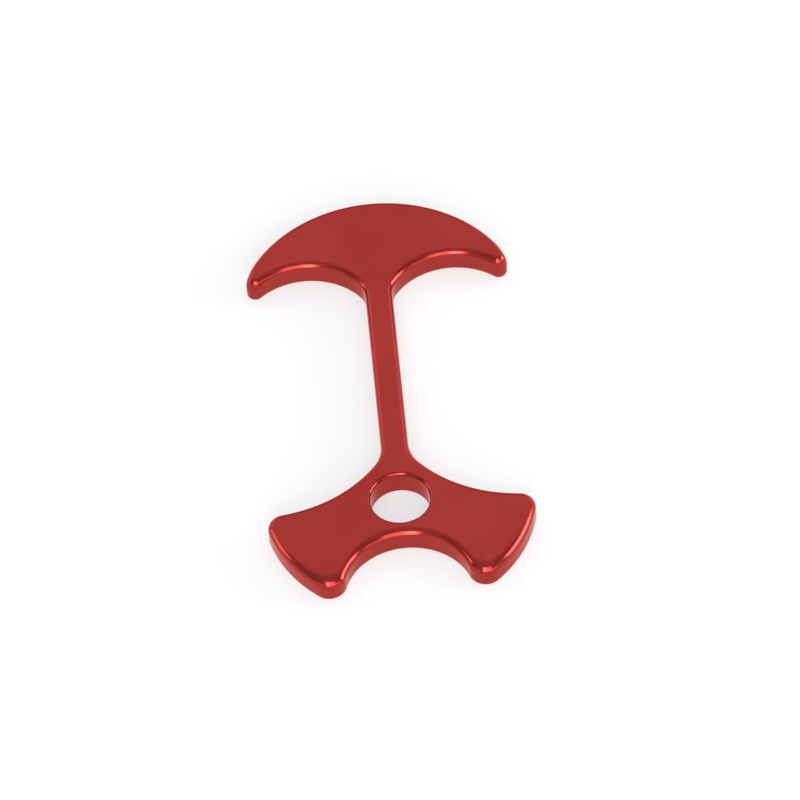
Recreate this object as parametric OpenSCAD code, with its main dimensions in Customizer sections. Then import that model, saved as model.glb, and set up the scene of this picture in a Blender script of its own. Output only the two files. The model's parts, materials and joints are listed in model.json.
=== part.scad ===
// Flat plate peg for a deck: a crescent head, a slim straight shank and a flared tail with a guy-line hole.
// The plate lies flat with +Z up and the head towards +Y. The origin is the middle of its bounding box, on
// the underside. Heights given from the hole are measured along Y from the centre of the hole.

/* [Plate] */
// Thickness of the plate
thickness = 4; // [3:0.1:6]
// Radius of the rolled edge all round the outline
edge_roll = 0.9; // [0.3:0.05:0.9]

/* [Head] */
// Height of the top of the head from the hole
head_top = 51.8; // [50:0.1:60]
// Radius of the crown arc across the top of the head
crown_radius = 20; // [18:0.5:24]
// Angle that the crown arc covers on each side of the centreline
crown_half_angle = 43; // [30:1:50]
// Radius of the shoulder arc from the crown down to a tip
shoulder_radius = 19; // [17.5:0.1:21]
// Direction of a tip from the centre of its shoulder arc, above the X axis
tip_angle = 25.5; // [20:0.5:32]
// Radius of the round tip of an arm
tip_radius = 1.2; // [1.15:0.05:1.6]
// Radius of the arc under an arm
under_radius = 9.3; // [9:0.1:12]

/* [Shank] */
// Width of the straight shank
shank_width = 3.7; // [3:0.1:6]
// Radius of the corner between the shank and an arm
neck_radius = 3.3; // [2:0.1:4]
// Height of the top of the straight shank from the hole
shank_top = 35.65; // [33:0.05:37]
// Height of the bottom of the straight shank from the hole
shank_bottom = 9.55; // [8:0.05:11]
// Radius of the corner between the shank and the tail
root_radius = 5.35; // [3:0.05:8]

/* [Tail] */
// Radius of the hollow flank on top of a wing
flank_radius = 18.9; // [17:0.1:24]
// Radius of the arc down the outer side of a wing
wing_radius = 18.45; // [17:0.05:19]
// Height of the centre of the wing arcs from the hole
wing_centre = 1.25; // [0:0.05:2]
// Direction of the upper corner of a wing from the centre of the wing arcs
wing_angle = -14; // [-20:0.5:-10]
// Radius of the upper corner of a wing
upper_corner = 2.05; // [1.2:0.05:3]
// Radius of the lower corner of a wing
lower_corner = 2.4; // [1.2:0.05:3]
// Radius of the notch in the end of the tail
notch_radius = 8.75; // [7:0.05:9.5]
// Depth of the centre of the notch arc below the hole
notch_centre = 14.75; // [14.5:0.05:16]

/* [Guy hole] */
// Radius of the hole for the guy line
hole_radius = 4; // [2.5:0.05:4.3]
// Radius of the rolled rim of the hole
hole_roll = 0.5; // [0.2:0.05:0.6]

/* [Hidden] */
$fn = 128;
half_shank = shank_width / 2;
// The longest turn and the longest run between two points of an arc
arc_turn = 15;
arc_run = 1.2;
// How many flat strips an edge rolls over in
roll_steps = 5;

// Direction of the vector v, in degrees
function heading(v) = atan2(v.y, v.x);
// Point at distance r from c in direction a
function from(c, r, a) = c + r * [cos(a), sin(a)];
// Point at distance ra from a and rb from b, left of the way from a to b for side 1 and right for side -1
function meet(a, ra, b, rb, side) =
    let (
        gap = norm(b - a),
        along = (ra * ra - rb * rb + gap * gap) / (2 * gap),
        off = side * sqrt(ra * ra - along * along),
        way = (b - a) / gap
    )
    a + along * way + off * [-way.y, way.x];

// Centres of the arcs on the right side, from the head down to the tail
crown_c = [0, head_top - crown_radius];
shoulder_c = from(crown_c, crown_radius - shoulder_radius, 90 - crown_half_angle);
tip_c = from(shoulder_c, shoulder_radius - tip_radius, tip_angle);
neck_c = [half_shank + neck_radius, shank_top];
under_c = meet(tip_c, under_radius + tip_radius, neck_c, under_radius - neck_radius, 1);
root_c = [half_shank + root_radius, shank_bottom];
wing_c = [0, wing_centre];
upper_c = from(wing_c, wing_radius - upper_corner, wing_angle);
flank_c = meet(upper_c, flank_radius + upper_corner, root_c, flank_radius - root_radius, -1);
notch_c = [0, -notch_centre];
lower_c = meet(notch_c, notch_radius + lower_corner, wing_c, wing_radius - lower_corner, -1);

// Directions in which neighbouring arcs touch, seen from the centre of the first
under_tip_a = heading(tip_c - under_c);
under_neck_a = heading(neck_c - under_c);
flank_root_a = heading(root_c - flank_c) + 360;
flank_upper_a = heading(upper_c - flank_c) + 360;
wing_lower_a = heading(lower_c - wing_c);
notch_lower_a = heading(lower_c - notch_c);

// The arcs down the right side, each with its centre, radius, start and end direction. The plate lies inside
// an arc of radius above 0 and outside one of radius below 0. The crown and the notch stop at the centreline.
head_arcs = [
    [crown_c, crown_radius, 90, 90 - crown_half_angle],
    [shoulder_c, shoulder_radius, 90 - crown_half_angle, tip_angle],
    [tip_c, tip_radius, tip_angle, under_tip_a - 180],
    [under_c, -under_radius, under_tip_a, under_neck_a],
    [neck_c, -neck_radius, under_neck_a, 180]
];
tail_arcs = [
    [root_c, -root_radius, 180, flank_root_a],
    [flank_c, -flank_radius, flank_root_a, flank_upper_a],
    [upper_c, upper_corner, flank_upper_a - 180, wing_angle],
    [wing_c, wing_radius, wing_angle, wing_lower_a],
    [lower_c, lower_corner, wing_lower_a, notch_lower_a - 180],
    [notch_c, -notch_radius, notch_lower_a, 90]
];

// Height of the middle of the outline from the hole
middle = (head_top + lower_c.y - lower_corner) / 2;

// Points along an arc but for its last one, moved into the plate by inset
function arc_points(arc, inset = 0) =
    let (
        turn = arc[3] - arc[2],
        run = abs(turn * arc[1]) * PI / 180,
        steps = ceil(max(abs(turn) / arc_turn, run / arc_run))
    )
    [for (i = [0 : steps - 1]) from(arc[0], abs(arc[1] - inset), arc[2] + turn * i / steps)];

// The whole outline from the top of the head round the right side and back up the left, moved in by inset
function outline(inset) =
    let (
        head = [for (arc = head_arcs) each arc_points(arc, inset)],
        tail = [for (arc = tail_arcs) each arc_points(arc, inset)],
        right = concat(head, [[half_shank - inset, shank_top]], tail),
        notch_top = [0, notch_c.y + notch_radius + inset]
    )
    concat(right, [notch_top], [for (i = [len(right) - 1 : -1 : 1]) [-right[i].x, right[i].y]]);

// How many points the first arcs of a list have in all, with only half of those of the last of them
function points_to_middle(arcs, last) =
    len([for (k = [0 : last - 1]) each arc_points(arcs[k])]) + round(len(arc_points(arcs[last])) / 2);

// Where the outline's points stand in its order: the ends of the straight shank on the right, the middle of
// the right tip and of the right wing, the top of the notch, and how many there are in all
neck_i = len([for (arc = head_arcs) each arc_points(arc)]);
root_i = neck_i + 1;
tip_i = points_to_middle(head_arcs, 2);
wing_i = root_i + points_to_middle(tail_arcs, 3);
notch_i = len(outline(0)) / 2;
count = 2 * notch_i;

// Faces laced between two rows of points that run side by side and meet at their last point
function lace(a, b) =
    let (m = max(len(a), len(b)) - 1)
    [for (k = [0 : m - 1])
        let (
            a0 = a[round(k * (len(a) - 1) / m)],
            a1 = a[round((k + 1) * (len(a) - 1) / m)],
            b0 = b[round(k * (len(b) - 1) / m)],
            b1 = b[round((k + 1) * (len(b) - 1) / m)],
            face = [a0, a1, b1, b0]
        )
        [for (c = [0 : 3]) if (face[c] != face[(c + 1) % 4]) face[c]]
    ];
function backwards(list) = [for (i = [len(list) - 1 : -1 : 0]) list[i]];
function mirrored(face) = [for (i = backwards(face)) (count - i) % count];

// The flat of the plate as faces between the outline's points: an arm, half of the tail, their mirror images
// and what lies between them
function flat_faces() =
    let (
        arm = lace([for (i = [0 : tip_i]) i], [for (i = [neck_i : -1 : tip_i]) i]),
        wing = lace([for (i = [root_i : wing_i]) i], [for (i = [notch_i : -1 : wing_i]) i]),
        side = concat(arm, wing),
        shank = [
            [0, neck_i, count - neck_i],
            [neck_i, root_i, count - root_i, count - neck_i],
            [root_i, notch_i, count - root_i]
        ]
    )
    concat(side, [for (face = side) mirrored(face)], shank);

// The edge from the lower face to the upper one, as [inset, height]
function edge_steps() =
    let (
        angles = [for (i = [0 : roll_steps]) 90 * i / roll_steps],
        lower = [for (a = angles) edge_roll * [1 - sin(a), 1 - cos(a)]]
    )
    concat(lower, [for (e = backwards(lower)) [e[0], thickness - e[1]]]);

// The plate without its hole, as rings of points from the lower face to the upper one
module blank() {
    points = [for (e = edge_steps()) each [for (p = outline(e[0])) [p.x, p.y, e[1]]]];
    last = len(points) - count;
    walls = [for (r = [0 : count : last - count], i = [0 : count - 1])
        let (j = (i + 1) % count) [r + i, r + j, r + count + j, r + count + i]];
    lower = [for (face = flat_faces()) backwards(face)];
    upper = [for (face = flat_faces()) [for (i = face) last + i]];
    polyhedron(points, concat(lower, walls, upper));
}

// What the guy-line hole takes away: a straight bore with a rolled rim on each face
module guy_hole() {
    rim = hole_radius + hole_roll;
    rotate_extrude() difference() {
        translate([0, -1]) square([rim, thickness + 2]);
        translate([hole_radius, hole_roll]) square([2 * hole_roll, thickness - 2 * hole_roll]);
        for (z = [hole_roll, thickness - hole_roll]) translate([rim, z]) circle(hole_roll);
    }
}

module stake_plate() {
    color([0.65, 0.21, 0.18]) translate([0, -middle, 0]) difference() {
        blank();
        guy_hole();
    }
}

stake_plate();
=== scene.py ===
import json
from math import acos, atan2, ceil, cos, exp, pi, radians, sin, tan

import bmesh
import bpy
from mathutils import Matrix, Vector


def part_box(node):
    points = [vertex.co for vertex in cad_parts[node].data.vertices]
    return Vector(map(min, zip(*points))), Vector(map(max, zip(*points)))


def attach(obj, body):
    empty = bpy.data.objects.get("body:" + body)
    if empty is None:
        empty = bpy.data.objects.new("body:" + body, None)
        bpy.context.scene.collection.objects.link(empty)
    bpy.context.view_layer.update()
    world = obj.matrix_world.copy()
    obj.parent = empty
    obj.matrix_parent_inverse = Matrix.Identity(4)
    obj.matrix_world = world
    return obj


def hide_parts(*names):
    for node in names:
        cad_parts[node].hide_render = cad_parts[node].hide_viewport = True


MM = 0.001

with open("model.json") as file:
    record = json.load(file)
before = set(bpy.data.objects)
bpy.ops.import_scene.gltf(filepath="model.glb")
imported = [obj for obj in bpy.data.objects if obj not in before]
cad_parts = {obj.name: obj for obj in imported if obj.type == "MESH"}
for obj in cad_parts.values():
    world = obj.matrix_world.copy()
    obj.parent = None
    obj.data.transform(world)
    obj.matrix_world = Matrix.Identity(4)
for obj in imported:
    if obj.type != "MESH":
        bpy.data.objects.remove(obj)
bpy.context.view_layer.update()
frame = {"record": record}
plate_low, plate_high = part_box("stake_plate")
guy_hole = next(m for m in frame["record"]["mounts"] if m["name"] == "guy_hole")

# The plate's outline, in metres. Heights are counted along Y from the centre of the guy hole.
THICKNESS = plate_high.z - plate_low.z
HOLE_Y = guy_hole["pos_m"][1]
HOLE_RADIUS = guy_hole["dims"]["r_mm"] * MM
HEAD_TOP = plate_high.y - HOLE_Y
CROWN_RADIUS = 20 * MM
CROWN_HALF_ANGLE = radians(43)
SHOULDER_RADIUS = 19 * MM
TIP_ANGLE = radians(25.5)
TIP_RADIUS = 1.2 * MM
UNDER_RADIUS = 9.3 * MM
HALF_SHANK = 1.85 * MM
NECK_RADIUS = 3.3 * MM
SHANK_TOP = 35.65 * MM
SHANK_BOTTOM = 9.55 * MM
ROOT_RADIUS = 5.35 * MM
FLANK_RADIUS = 18.9 * MM
WING_RADIUS = 18.45 * MM
WING_CENTRE = 1.25 * MM
WING_ANGLE = radians(-14)
UPPER_CORNER = 2.05 * MM
LOWER_CORNER = 2.4 * MM
NOTCH_RADIUS = 8.75 * MM
NOTCH_CENTRE = 14.75 * MM

# How an edge has rolled away: its reach over the flat face, its depth down the wall, and its lead, from 0
# for an edge that leaves the flat at once to 1 for one that leaves it slowly. Corners have worn the most.
HOLE_ROLL = Vector((0.5 * MM, 0.5 * MM, 0))
EDGE_ROLL = Vector((0.9 * MM, 0.9 * MM, 0))
TIP_ROLL = Vector((1.12 * MM, 2.2 * MM, 0.1))
UNDER_ROLL = Vector((1.0 * MM, 1.0 * MM, 0.1))
UPPER_CORNER_ROLL = Vector((1.2 * MM, 1.1 * MM, 0.4))
WING_ROLL = Vector((1.4 * MM, 1.2 * MM, 0.5))
LOWER_CORNER_ROLL = Vector((2.2 * MM, 1.5 * MM, 1.0))
NOTCH_ROLL = Vector((1.25 * MM, 1.15 * MM, 0.3))
# How far along the outline one arc's roll flows into the next, and after how many such lengths it is lost
ROLL_BLEND = 1.2 * MM
BLEND_REACH = 3

# The metal's dye at its deepest and palest, the painted sheen added to the flats' colour in place of the
# light that their satin surface scatters, and the share of the large blotches in its mottling
DYE_DEEP = (0.365, 0.020, 0.015)
DYE_PALE = (0.415, 0.028, 0.022)
FLAT_PAINTED_SHEEN = (0.009, 0.0163, 0.0162)
BLOTCH_SHARE = 0.6

# The finish of the flats and of the polished edges: roughness and how far it varies, weight of the clear
# sheen, and colour of the light that grazes the metal
FLAT_ROUGHNESS = 0.30
FLAT_VARIATION = 0.03
FLAT_SHEEN = 0.04
FLAT_GRAZE = (1.0, 0.04, 0.04)
EDGE_ROUGHNESS = 0.20
EDGE_VARIATION = 0.02
EDGE_SHEEN = 0.36
EDGE_GRAZE = (1.0, 0.6, 0.55)
SHEEN_ROUGHNESS = 0.12

# The upright part of a unit normal from where the surface starts to count as flat to where it wholly does
FLAT_RANGE = (0.9, 0.995)
# The stretch of a noise's values that holds most of them, and the crests that make pits and hairlines
NOISE_RANGE = (0.3, 0.7)
PIT_RANGE = (0.68, 0.74)
HAIRLINE_RANGE = (0.70, 0.76)

# The size of the largest features of each pattern. The hairlines run in two directions, which are given in
# radians, and are so many times longer than wide.
BLOTCH_SIZE = 9 * MM
CLOUD_SIZE = 1.6 * MM
GRAIN_SIZE = 0.16 * MM
PIT_SIZE = 0.5 * MM
HAIRLINE_SIZE = 0.12 * MM
HAIRLINE_ANGLES = (0.5, -0.9)
HAIRLINE_STRETCH = 50

# The height of the grain on the flats, and the rest of the relief as multiples of it. The hairlines also
# add some roughness.
GRAIN_HEIGHT = 0.004 * MM
EDGE_GRAIN = 0.2
PIT_DEPTH = 0.8
HAIRLINE_DEPTH = 0.4
WAVE_HEIGHT = 10
HAIRLINE_DULLING = 0.06

# How closely the mesh follows its curves
CHORD_ERROR = 0.0015 * MM
STRAIGHT_STEPS = 40
ROLL_STEPS = 12
HOLE_STEPS = 120
SPIRAL_FINENESS = 20

# The camera's direction from the guy hole, its roll, its distance, and how far the picture's centre lies
# from the hole, to the right and up
CAMERA_AZIMUTH = radians(-1.383)
CAMERA_ELEVATION = radians(51.685)
CAMERA_ROLL = radians(-4.236)
CAMERA_DISTANCE = 1.073678
CAMERA_OFFSET = (-0.000188, 0.015498)
CAMERA_LENS = 360
CAMERA_CLIP = (0.05, 20)

# Softboxes round the table: name, distance in metres, azimuth and elevation, width and height, radiance.
# The angles are in degrees, with azimuth 0 at the tail's end and 90 on the right.
SOFTBOXES = [
    ("back_box", 1.0, 180, 52, 100, 40, 0.48),
    ("top_box", 1.0, 0, 80, 60, 50, 0.14),
    ("front_box", 1.0, 5, 26, 46, 46, 2.3),
    ("front_core", 0.9, -9, 27, 16, 40, 4.4),
    ("left_box", 1.0, -102, 15, 20, 30, 1.9),
    ("rear_left_box", 1.0, -142, 16, 44, 32, 0.6),
    ("right_box", 1.0, 91, 14, 32, 28, 6.4),
    ("rear_right_box", 1.0, 140, 16, 44, 32, 0.6),
    ("low_left_box", 1.0, -45, 10, 30, 9, 0.9),
    ("low_right_box", 1.0, 42, 11, 34, 12, 2.0),
]

# The light table: its half width in metres, how far it lies below the plate so that the two faces don't
# fight, how pale and how rough it is and how brightly it glows, and the room's grey
FLOOR_REACH = 3
FLOOR_GAP = 0.02 * MM
FLOOR_SHADE = 0.36
FLOOR_ROUGHNESS = 0.9
FLOOR_GLOW = 0.62
ROOM_SHADE = 0.50


def towards(centre, radius, angle):
    return centre + radius * Vector((cos(angle), sin(angle)))


def heading(v):
    return atan2(v.y, v.x)


def meet(a, radius_a, b, radius_b, side):
    """The point at those distances from a and b, on the left of the way from a to b for side 1."""
    gap = (b - a).length
    way = (b - a) / gap
    along = (radius_a**2 - radius_b**2 + gap**2) / (2 * gap)
    off = side * (radius_a**2 - along**2) ** 0.5
    return a + along * way + off * Vector((-way.y, way.x))


def plate_arcs():
    """The arcs down the right side: centre, radius (below 0 in a hollow), first and last direction, roll."""
    crown = Vector((0, HEAD_TOP - CROWN_RADIUS))
    shoulder = towards(crown, CROWN_RADIUS - SHOULDER_RADIUS, pi / 2 - CROWN_HALF_ANGLE)
    tip = towards(shoulder, SHOULDER_RADIUS - TIP_RADIUS, TIP_ANGLE)
    neck = Vector((HALF_SHANK + NECK_RADIUS, SHANK_TOP))
    under = meet(tip, UNDER_RADIUS + TIP_RADIUS, neck, UNDER_RADIUS - NECK_RADIUS, 1)
    root = Vector((HALF_SHANK + ROOT_RADIUS, SHANK_BOTTOM))
    wing = Vector((0, WING_CENTRE))
    upper = towards(wing, WING_RADIUS - UPPER_CORNER, WING_ANGLE)
    flank = meet(upper, FLANK_RADIUS + UPPER_CORNER, root, FLANK_RADIUS - ROOT_RADIUS, -1)
    notch = Vector((0, -NOTCH_CENTRE))
    lower = meet(notch, NOTCH_RADIUS + LOWER_CORNER, wing, WING_RADIUS - LOWER_CORNER, -1)

    under_tip = heading(tip - under)
    under_neck = heading(neck - under)
    flank_root = heading(root - flank) + 2 * pi
    flank_upper = heading(upper - flank) + 2 * pi
    wing_lower = heading(lower - wing)
    notch_lower = heading(lower - notch)
    head = [
        (crown, CROWN_RADIUS, pi / 2, pi / 2 - CROWN_HALF_ANGLE, EDGE_ROLL),
        (shoulder, SHOULDER_RADIUS, pi / 2 - CROWN_HALF_ANGLE, TIP_ANGLE, EDGE_ROLL),
        (tip, TIP_RADIUS, TIP_ANGLE, under_tip - pi, TIP_ROLL),
        (under, -UNDER_RADIUS, under_tip, under_neck, UNDER_ROLL),
        (neck, -NECK_RADIUS, under_neck, pi, EDGE_ROLL),
    ]
    tail = [
        (root, -ROOT_RADIUS, pi, flank_root, EDGE_ROLL),
        (flank, -FLANK_RADIUS, flank_root, flank_upper, EDGE_ROLL),
        (upper, UPPER_CORNER, flank_upper - pi, WING_ANGLE, UPPER_CORNER_ROLL),
        (wing, WING_RADIUS, WING_ANGLE, wing_lower, WING_ROLL),
        (lower, LOWER_CORNER, wing_lower, notch_lower - pi, LOWER_CORNER_ROLL),
        (notch, -NOTCH_RADIUS, notch_lower, pi / 2, NOTCH_ROLL),
    ]
    return head, tail


def arc_stations(arc):
    """Points along an arc but for its last one, each with the direction out of the metal and its roll."""
    centre, radius, first, last, roll = arc
    step = 2 * acos(1 - CHORD_ERROR / abs(radius))
    steps = ceil(abs(last - first) / step)
    stations = []
    for i in range(steps):
        ray = towards(Vector((0, 0)), 1, first + (last - first) * i / steps)
        stations.append((centre + abs(radius) * ray, ray if radius > 0 else -ray, roll))
    return stations


def outline_stations():
    """Stations all round the plate, clockwise from the top of the head."""
    head, tail = plate_arcs()
    right = [station for arc in head for station in arc_stations(arc)]
    for i in range(STRAIGHT_STEPS):
        y = SHANK_TOP + (SHANK_BOTTOM - SHANK_TOP) * i / STRAIGHT_STEPS
        right.append((Vector((HALF_SHANK, y)), Vector((1, 0)), EDGE_ROLL))
    right += [station for arc in tail for station in arc_stations(arc)]
    bottom = (Vector((0, NOTCH_RADIUS - NOTCH_CENTRE)), Vector((0, -1)), NOTCH_ROLL)
    left = [(Vector((-p.x, p.y)), Vector((-n.x, n.y)), roll) for p, n, roll in reversed(right[1:])]
    return right + [bottom] + left


def blend_rolls(stations):
    """The stations with their rolls evened out, so that one arc's edge flows into the next."""
    count = len(stations)
    spans = [(stations[i - 1][0] - stations[(i + 1) % count][0]).length for i in range(count)]
    blended = []
    for point, facing, _ in stations:
        total = Vector((0, 0, 0))
        weight = 0
        for (other, _, roll), span in zip(stations, spans):
            gap = (other - point).length / ROLL_BLEND
            if gap < BLEND_REACH:
                share = span * exp(-gap**2)
                total += share * roll
                weight += share
        blended.append((point, facing, total / weight))
    return blended


def hole_stations():
    """Stations all round the guy hole. They face into the hole, out of the metal."""
    stations = []
    for i in range(HOLE_STEPS):
        ray = towards(Vector((0, 0)), 1, 2 * pi * i / HOLE_STEPS)
        stations.append((HOLE_RADIUS * ray, -ray, HOLE_ROLL))
    return stations


def spiral():
    """Points along a curve that bends from level to upright, ever more tightly, within a unit square."""
    points = [Vector((0, 0))]
    for i in range(ROLL_STEPS * SPIRAL_FINENESS):
        bend = pi / 2 * ((i + 0.5) / (ROLL_STEPS * SPIRAL_FINENESS)) ** 2
        points.append(points[-1] + Vector((cos(bend), sin(bend))))
    across, down = points[-1]
    return [Vector((point.x / across, point.y / down)) for point in points[::SPIRAL_FINENESS]]


def roll_points(roll, slow_curve):
    """Down a rolled edge from the flat face to the wall: each point's inset and depth."""
    run, drop, lead = roll
    points = []
    for i, slow in enumerate(slow_curve):
        turn = pi / 2 * i / ROLL_STEPS
        quick = Vector((sin(turn), 1 - cos(turn)))
        across, down = quick.lerp(slow, lead)
        points.append((run * (1 - across), drop * down))
    return points


def add_edge(mesh, stations, plain_roll, normals):
    """Sweeps the edge round the stations, with a plain roll below. Returns its lowest and highest loops."""
    slow_curve = spiral()
    below = roll_points(plain_roll, slow_curve)
    columns = []
    for point, facing, roll in stations:
        above = [(inset, THICKNESS - depth) for inset, depth in roll_points(roll, slow_curve)]
        column = []
        for inset, height in below + above[::-1]:
            place = point - inset * facing
            column.append(Vector((place.x, place.y + HOLE_Y, height)))
        columns.append(column)
    count = len(columns)
    last = len(columns[0]) - 1
    rings = [[mesh.verts.new(column[level]) for column in columns] for level in range(last + 1)]
    for level in range(last + 1):
        for i in range(count):
            along = columns[i - 1][level] - columns[(i + 1) % count][level]
            up = columns[i][min(level + 1, last)] - columns[i][max(level - 1, 0)]
            upright = Vector((0, 0, level - last / 2))
            normals.append(upright if level in (0, last) else along.cross(up))
    for low, high in zip(rings, rings[1:]):
        for i in range(count):
            j = (i + 1) % count
            mesh.faces.new((low[j], low[i], high[i], high[j]))
    loops = []
    for ring in (rings[0], rings[-1]):
        loops.append([mesh.edges.get((ring[i], ring[(i + 1) % count])) for i in range(count)])
    return loops


def build_plate():
    """The plate as one closed mesh: two rolled edges and the two flat faces between them."""
    mesh = bmesh.new()
    normals = []
    outer = add_edge(mesh, blend_rolls(outline_stations()), EDGE_ROLL, normals)
    inner = add_edge(mesh, hole_stations(), HOLE_ROLL, normals)
    for outer_loop, inner_loop in zip(outer, inner):
        bmesh.ops.triangle_fill(mesh, edges=outer_loop + inner_loop, use_beauty=True)
    bmesh.ops.recalc_face_normals(mesh, faces=mesh.faces)
    for face in mesh.faces:
        face.smooth = True
    data = bpy.data.meshes.new("anchor_plate")
    mesh.to_mesh(data)
    mesh.free()
    data.normals_split_custom_set_from_vertices([normal.normalized() for normal in normals])
    plate = bpy.data.objects.new("anchor_plate", data)
    bpy.context.scene.collection.objects.link(plate)
    return plate


def add_node(tree, kind, inputs=None, **settings):
    """A shader node. Each of its inputs is given a number, a colour or another node's output."""
    node = tree.nodes.new(kind)
    for name, value in settings.items():
        setattr(node, name, value)
    for name, source in (inputs or {}).items():
        if isinstance(source, bpy.types.NodeSocket):
            tree.links.new(source, node.inputs[name])
        else:
            node.inputs[name].default_value = source
    return node


def math_node(tree, operation, first, second=0):
    return add_node(tree, "ShaderNodeMath", {0: first, 1: second}, operation=operation).outputs[0]


def mix_node(tree, factor, first, second, **settings):
    """The first input alone at factor 0, and fully blended with the second at 1. Mixes colours by default."""
    settings = {"data_type": "RGBA", **settings}
    node = add_node(tree, "ShaderNodeMix", {"Factor": factor, "A": first, "B": second}, **settings)
    return node.outputs["Result"]


def noise(tree, where, size, detail, roughness=0.5):
    """Noise whose largest features are about size metres across."""
    inputs = {"Vector": where, "Scale": 1 / size, "Detail": detail, "Roughness": roughness}
    return add_node(tree, "ShaderNodeTexNoise", inputs).outputs["Fac"]


def ranged(tree, value, low_high, to_low=0, to_high=1):
    """The value, carried smoothly from one range to another and held at its ends."""
    low, high = low_high
    inputs = {"Value": value, "From Min": low, "From Max": high, "To Min": to_low, "To Max": to_high}
    node = add_node(tree, "ShaderNodeMapRange", inputs, interpolation_type="SMOOTHSTEP", clamp=True)
    return node.outputs["Result"]


def flatness(tree):
    """1 on the two flat faces, 0 from where the edges have rolled away."""
    normal = add_node(tree, "ShaderNodeNewGeometry").outputs["Normal"]
    upright = add_node(tree, "ShaderNodeSeparateXYZ", {"Vector": normal}).outputs["Z"]
    return ranged(tree, math_node(tree, "ABSOLUTE", upright), FLAT_RANGE)


def hairlines(tree, where):
    """Noise drawn out along crossing directions, kept only at its thin crests."""
    total = 0
    for angle in HAIRLINE_ANGLES:
        inputs = {"Vector": where, "Rotation": (0, 0, angle), "Scale": (1 / HAIRLINE_STRETCH, 1, 1)}
        drawn_out = add_node(tree, "ShaderNodeMapping", inputs).outputs["Vector"]
        streaks = noise(tree, drawn_out, HAIRLINE_SIZE, detail=1)
        total = math_node(tree, "ADD", total, ranged(tree, streaks, HAIRLINE_RANGE))
    return total


def dye_and_painted_sheen(tree, flat, blotch, cloud):
    """The dye, mottled by the blotches and the clouds, with a painted sheen that makes the flats a little
    paler.
    """
    large = math_node(tree, "MULTIPLY", blotch, BLOTCH_SHARE)
    small = math_node(tree, "MULTIPLY", cloud, 1 - BLOTCH_SHARE)
    mottling = ranged(tree, math_node(tree, "ADD", large, small), NOISE_RANGE)
    dye = mix_node(tree, mottling, (*DYE_DEEP, 1), (*DYE_PALE, 1))
    # Painted sheen: a pale tint added to the flats' colour, standing in for the light that their satin
    # surface scatters
    return mix_node(tree, flat, dye, (*FLAT_PAINTED_SHEEN, 1), blend_type="ADD")


def finish_roughness(tree, flat, cloud, scratches):
    """Polished on the edges and satin on the flats, uneven with the clouds and duller along the scratches."""
    edge_ends = (EDGE_ROUGHNESS - EDGE_VARIATION, EDGE_ROUGHNESS + EDGE_VARIATION)
    flat_ends = (FLAT_ROUGHNESS - FLAT_VARIATION, FLAT_ROUGHNESS + FLAT_VARIATION)
    polish = ranged(tree, cloud, NOISE_RANGE, *edge_ends)
    satin = ranged(tree, cloud, NOISE_RANGE, *flat_ends)
    finish = mix_node(tree, flat, polish, satin, data_type="FLOAT")
    return math_node(tree, "ADD", finish, math_node(tree, "MULTIPLY", scratches, HAIRLINE_DULLING))


def relief(tree, where, flat, blotch, scratches):
    """Fine grain that fades on the polished edges, a few pits, the scratches, and a slow waviness."""
    grain = noise(tree, where, GRAIN_SIZE, detail=3, roughness=0.7)
    pits = ranged(tree, noise(tree, where, PIT_SIZE, detail=1), PIT_RANGE)
    coarse = math_node(tree, "ADD", math_node(tree, "MULTIPLY", flat, 1 - EDGE_GRAIN), EDGE_GRAIN)
    height = math_node(tree, "MULTIPLY", grain, coarse)
    height = math_node(tree, "SUBTRACT", height, math_node(tree, "MULTIPLY", pits, PIT_DEPTH))
    height = math_node(tree, "SUBTRACT", height, math_node(tree, "MULTIPLY", scratches, HAIRLINE_DEPTH))
    height = math_node(tree, "ADD", height, math_node(tree, "MULTIPLY", blotch, WAVE_HEIGHT))
    bump = add_node(tree, "ShaderNodeBump", {"Height": height, "Strength": 1, "Distance": GRAIN_HEIGHT})
    return bump.outputs["Normal"]


def anodised_metal():
    """Red anodised aluminium: satin on the flat faces, polished by tumbling on the rolled edges."""
    material = bpy.data.materials.new("anodised_red")
    material.use_nodes = True
    tree = material.node_tree
    where = add_node(tree, "ShaderNodeTexCoord").outputs["Object"]
    flat = flatness(tree)
    blotch = noise(tree, where, BLOTCH_SIZE, detail=3)
    cloud = noise(tree, where, CLOUD_SIZE, detail=4, roughness=0.6)
    scratches = math_node(tree, "MULTIPLY", hairlines(tree, where), flat)
    # Where light grazes the flats they stay red, but the edges turn paler. Only the edges have much sheen.
    varied = {
        "Base Color": dye_and_painted_sheen(tree, flat, blotch, cloud),
        "Roughness": finish_roughness(tree, flat, cloud, scratches),
        "Normal": relief(tree, where, flat, blotch, scratches),
        "Specular Tint": mix_node(tree, flat, (*EDGE_GRAZE, 1), (*FLAT_GRAZE, 1)),
        "Coat Weight": ranged(tree, flat, (0, 1), EDGE_SHEEN, FLAT_SHEEN),
    }
    shader = tree.nodes["Principled BSDF"]
    for name, source in varied.items():
        tree.links.new(source, shader.inputs[name])
    shader.inputs["Metallic"].default_value = 1
    shader.inputs["Coat Roughness"].default_value = SHEEN_ROUGHNESS
    return material


def view_axes(azimuth, elevation):
    """For a view from that direction: its level axis, its upward axis and the way back to the viewer."""
    back = Vector((sin(azimuth) * cos(elevation), -cos(azimuth) * cos(elevation), sin(elevation)))
    level = Vector((cos(azimuth), sin(azimuth), 0))
    return level, back.cross(level), back


def placed(x_axis, y_axis, z_axis, place):
    return Matrix.Translation(place) @ Matrix((x_axis, y_axis, z_axis)).transposed().to_4x4()


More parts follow.
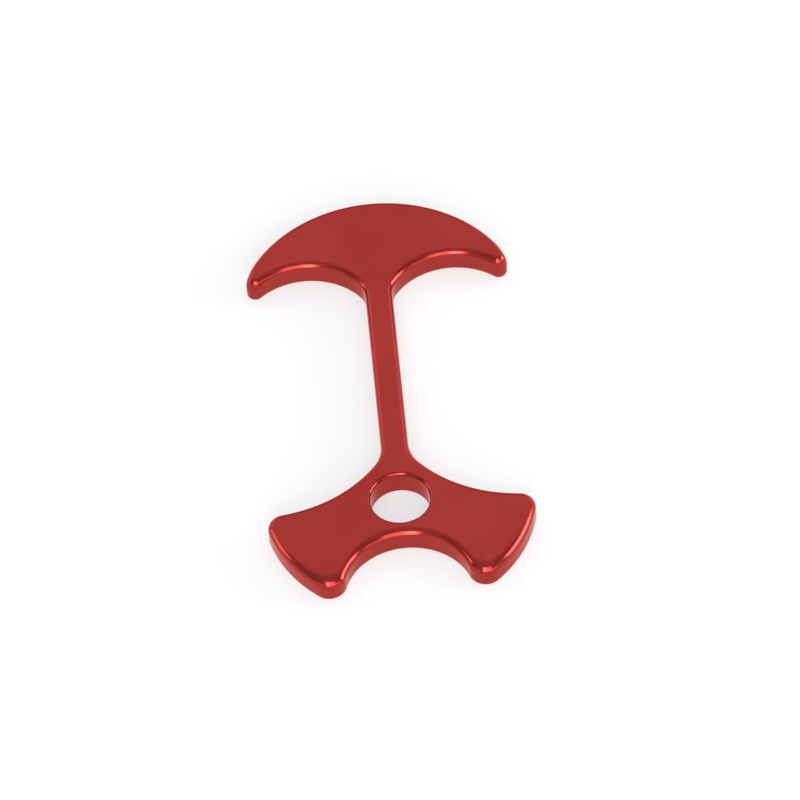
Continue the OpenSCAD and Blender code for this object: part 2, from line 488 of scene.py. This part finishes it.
def add_camera(target):
    level, over, back = view_axes(CAMERA_AZIMUTH, CAMERA_ELEVATION)
    x_axis = cos(CAMERA_ROLL) * level + sin(CAMERA_ROLL) * over
    y_axis = cos(CAMERA_ROLL) * over - sin(CAMERA_ROLL) * level
    right, up = CAMERA_OFFSET
    place = target + right * x_axis + up * y_axis + CAMERA_DISTANCE * back
    camera = bpy.data.objects.new("camera", bpy.data.cameras.new("camera"))
    camera.data.lens = CAMERA_LENS
    camera.data.clip_start, camera.data.clip_end = CAMERA_CLIP
    camera.matrix_world = placed(x_axis, y_axis, back, place)
    bpy.context.scene.collection.objects.link(camera)
    bpy.context.scene.camera = camera


def add_softbox(target, name, distance, azimuth, elevation, width, height, radiance):
    """A rectangular light that faces the target. Its width and height are the angles that it fills."""
    level, over, back = view_axes(azimuth, elevation)
    lamp = bpy.data.lights.new(name, "AREA")
    lamp.shape = "RECTANGLE"
    lamp.size = 2 * distance * tan(width / 2)
    lamp.size_y = 2 * distance * tan(height / 2)
    lamp.energy = radiance * pi * lamp.size * lamp.size_y
    light = bpy.data.objects.new(name, lamp)
    light.matrix_world = placed(level, over, back, target + distance * back)
    bpy.context.scene.collection.objects.link(light)


def grey(shade):
    return (shade, shade, shade, 1)


def add_floor():
    """A pale light table, seen from above only, so that a view from below shows the plate's underside."""
    reach = FLOOR_REACH
    corners = [(-reach, -reach, 0), (reach, -reach, 0), (reach, reach, 0), (-reach, reach, 0)]
    data = bpy.data.meshes.new("floor")
    data.from_pydata(corners, [], [(0, 1, 2, 3)])
    floor = bpy.data.objects.new("floor", data)
    material = bpy.data.materials.new("floor")
    material.use_nodes = True
    tree = material.node_tree
    shader = tree.nodes["Principled BSDF"]
    shader.inputs["Base Color"].default_value = grey(FLOOR_SHADE)
    shader.inputs["Roughness"].default_value = FLOOR_ROUGHNESS
    shader.inputs["Specular IOR Level"].default_value = 0
    shader.inputs["Emission Color"].default_value = grey(1)
    shader.inputs["Emission Strength"].default_value = FLOOR_GLOW
    beneath = add_node(tree, "ShaderNodeNewGeometry").outputs["Backfacing"]
    clear = add_node(tree, "ShaderNodeBsdfTransparent").outputs["BSDF"]
    one_sided = add_node(tree, "ShaderNodeMixShader", {0: beneath, 1: shader.outputs["BSDF"], 2: clear})
    tree.links.new(one_sided.outputs["Shader"], tree.nodes["Material Output"].inputs["Surface"])
    data.materials.append(material)
    floor.location.z = -FLOOR_GAP
    bpy.context.scene.collection.objects.link(floor)


hole_point = Vector((0, HOLE_Y, 0))
add_camera(hole_point)
add_floor()
for name, distance, azimuth, elevation, width, height, radiance in SOFTBOXES:
    angles = [radians(angle) for angle in (azimuth, elevation, width, height)]
    add_softbox(hole_point, name, distance, *angles, radiance)
world = bpy.data.worlds.new("studio")
bpy.context.scene.world = world
world.use_nodes = True
world.node_tree.nodes["Background"].inputs["Color"].default_value = grey(ROOM_SHADE)
bpy.context.scene.view_settings.view_transform = "Standard"

plate = build_plate()
plate.data.materials.append(anodised_metal())
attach(plate, "root")
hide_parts("stake_plate")
